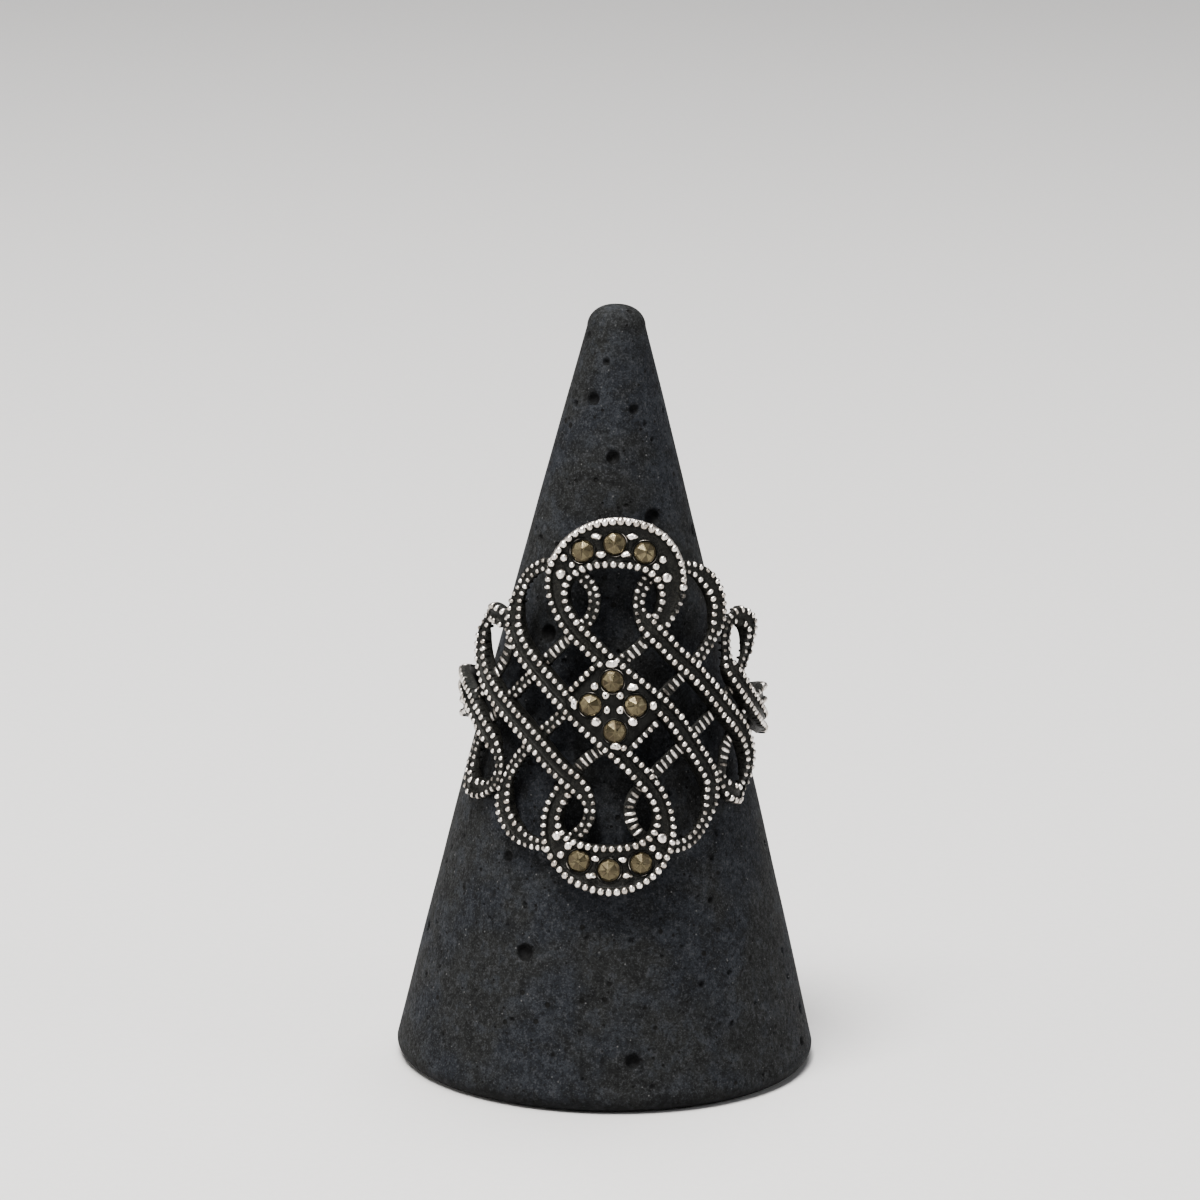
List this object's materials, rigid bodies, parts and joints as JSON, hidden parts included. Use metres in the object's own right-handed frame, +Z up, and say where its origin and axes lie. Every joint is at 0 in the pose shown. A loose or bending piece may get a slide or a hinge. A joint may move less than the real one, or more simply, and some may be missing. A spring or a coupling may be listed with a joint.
{
  "type": "openwork ring on a display cone",
  "caption": "Wide openwork ring of interlaced channel strands with arches and a centre plate of small faceted stones, held by a plain stone display cone.",
  "frame": {"origin": "middle of the display cone's flat base", "axes": "+Z up along the cone's axis, -Y towards the front of the ring's panel, +X to the panel's right"},
  "size_m": [0.0278, 0.0278, 0.051],
  "materials": {
    "silver": "cast silver, bright on the rims and oxidised black in the channels",
    "marcasite": "cut and polished, olive bronze with a metallic lustre",
    "cone_stone": "matt charcoal stone with fine pores"
  },
  "bodies": {
    "root": {"openwork_ring": "silver", "display_cone": "cone_stone", "marcasite_top_left": "marcasite", "marcasite_top_middle": "marcasite", "marcasite_top_right": "marcasite", "marcasite_centre_top": "marcasite", "marcasite_centre_left": "marcasite", "marcasite_centre_right": "marcasite", "marcasite_centre_bottom": "marcasite", "marcasite_bottom_left": "marcasite", "marcasite_bottom_middle": "marcasite", "marcasite_bottom_right": "marcasite"}
  },
  "joints": []
}
